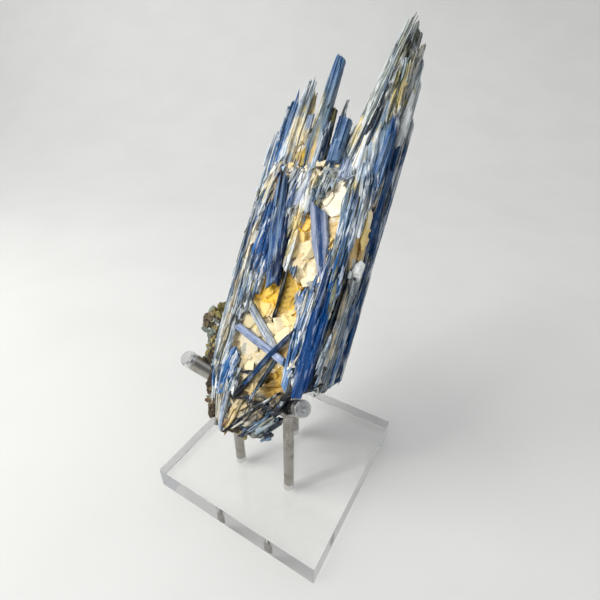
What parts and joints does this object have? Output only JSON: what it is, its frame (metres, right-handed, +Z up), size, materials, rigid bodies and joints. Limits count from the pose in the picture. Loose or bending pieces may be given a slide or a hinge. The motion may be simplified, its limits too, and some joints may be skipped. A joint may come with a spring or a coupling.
{
  "type": "kyanite blade cluster on a display stand",
  "caption": "Cluster of long parallel kyanite blades in quartz and mica, leaning in a steel-armed stand on a clear acrylic plate.",
  "frame": {"origin": "centre of the underside of the clear plate", "axes": "+Z up, +X and +Y along the plate's sides; -Y is the front, towards which the specimen's face looks"},
  "size_m": [0.11, 0.145, 0.2523],
  "materials": {
    "kyanite": "pearly, striated",
    "clear_acrylic": "clear, polished",
    "steel": "satin",
    "clear_cap": "clear, domed"
  },
  "bodies": {
    "root": {"kyanite_cluster": "kyanite", "base_plate": "clear_acrylic", "post_front_left": "steel", "post_front_right": "steel", "post_rear": "steel", "arm_front_left": "steel", "arm_front_right": "steel", "arm_rear": "steel", "cap_front_left": "clear_cap", "cap_front_right": "clear_cap", "cap_rear": "clear_cap"}
  },
  "joints": []
}
